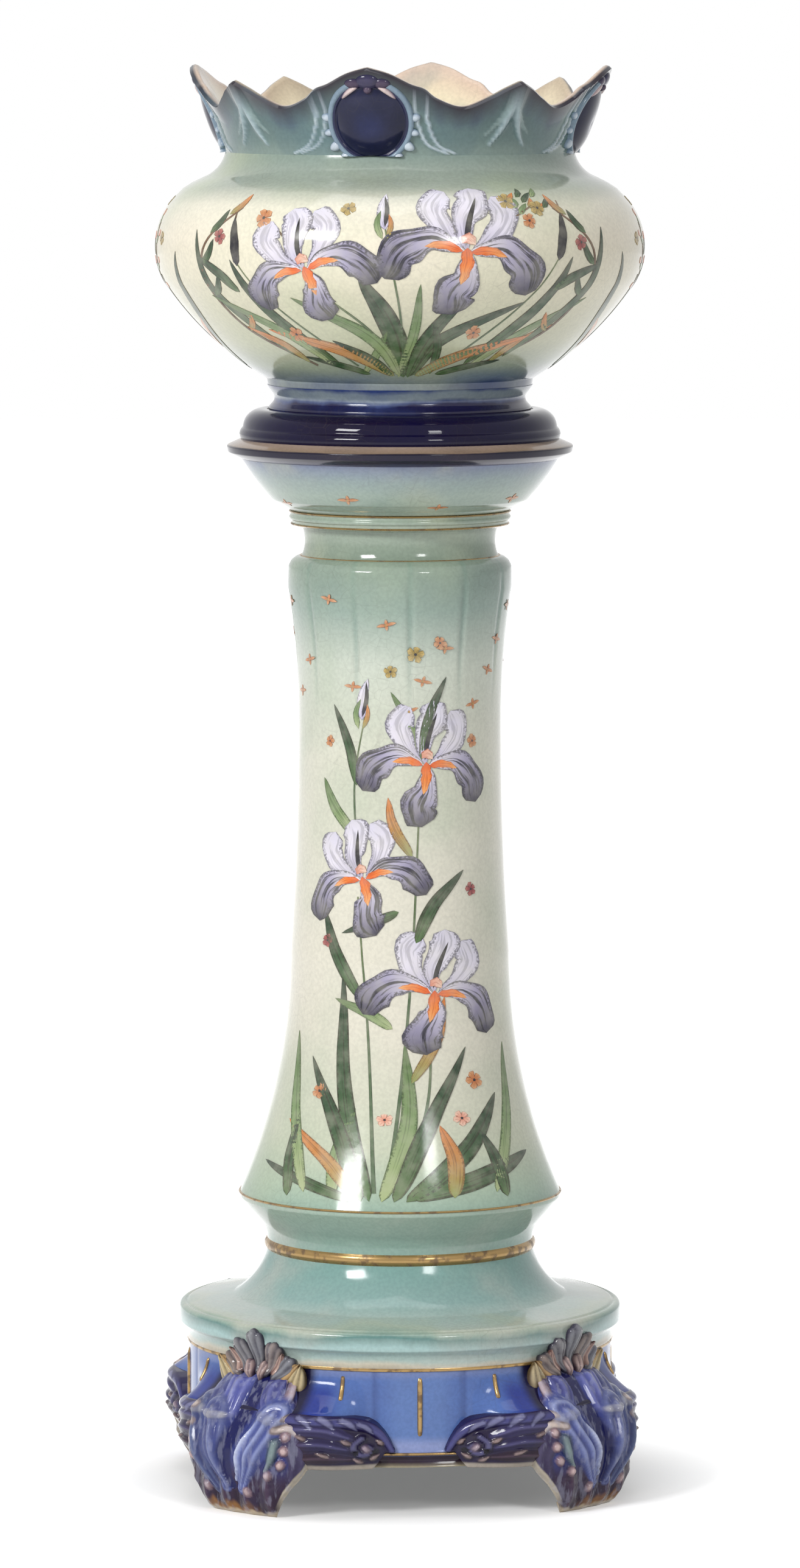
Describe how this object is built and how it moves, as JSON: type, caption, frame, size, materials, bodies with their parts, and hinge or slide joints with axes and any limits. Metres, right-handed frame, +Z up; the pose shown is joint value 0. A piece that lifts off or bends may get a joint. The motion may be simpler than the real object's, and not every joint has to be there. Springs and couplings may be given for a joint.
{
  "type": "jardiniere on stand",
  "caption": "Round scalloped planter bowl resting on a tall waisted hollow pedestal with scroll feet; the bowl lifts off.",
  "frame": {"origin": "on the floor at the pedestal's axis, in the middle of the four feet", "axes": "+Z up along the axis, -Y out of the front panel, +X to the right as seen from the front"},
  "size_m": [0.3532, 0.3532, 1.004],
  "materials": {
    "cobalt_glaze": "deep blue majolica glaze pooling darker in the hollows",
    "lilac_glaze": "pale grey-lilac glaze, glossy",
    "navy_glaze": "near-black navy glaze, glossy",
    "gilding": "worn burnished gilding over glaze",
    "teal_glaze": "translucent teal glaze, darker where it pools",
    "cream_glaze": "cream glaze shaded to pale green, with painted enamel irises",
    "aqua_glaze": "pale aqua glaze, glossy",
    "slate_glaze": "grey-blue glaze shaded from the rim, cream inside"
  },
  "bodies": {
    "stand": {"foot_1": "cobalt_glaze", "foot_2": "cobalt_glaze", "foot_3": "cobalt_glaze", "foot_4": "cobalt_glaze", "foot_shell_1": "lilac_glaze", "foot_shell_2": "lilac_glaze", "foot_shell_3": "lilac_glaze", "foot_shell_4": "lilac_glaze", "scroll_left_1": "navy_glaze", "scroll_left_2": "navy_glaze", "scroll_left_3": "navy_glaze", "scroll_left_4": "navy_glaze", "scroll_right_1": "navy_glaze", "scroll_right_2": "navy_glaze", "scroll_right_3": "navy_glaze", "scroll_right_4": "navy_glaze", "apron_ribs_1": "gilding", "apron_ribs_2": "gilding", "apron_ribs_3": "gilding", "apron_ribs_4": "gilding", "base_bead": "gilding", "apron": "cobalt_glaze", "plinth": "teal_glaze", "column_base": "teal_glaze", "shaft": "cream_glaze", "necking": "aqua_glaze", "astragal": "aqua_glaze", "capital": "aqua_glaze", "top_plate": "navy_glaze", "seat": "navy_glaze"},
    "bowl": {"bowl_foot": "lilac_glaze", "bowl_belly": "cream_glaze", "bowl_neck": "slate_glaze", "medallion_1": "navy_glaze", "medallion_2": "navy_glaze", "medallion_3": "navy_glaze", "medallion_4": "navy_glaze", "rim_crest_1": "navy_glaze", "rim_crest_2": "navy_glaze", "rim_crest_3": "navy_glaze", "rim_crest_4": "navy_glaze", "medallion_frame_1": "aqua_glaze", "medallion_frame_2": "aqua_glaze", "medallion_frame_3": "aqua_glaze", "medallion_frame_4": "aqua_glaze"}
  },
  "joints": [
    {"name": "bowl_lift", "type": "slide", "parent": "stand", "child": "bowl", "axis": [0, 0, 1], "range_m": [0, 0.25]}
  ]
}
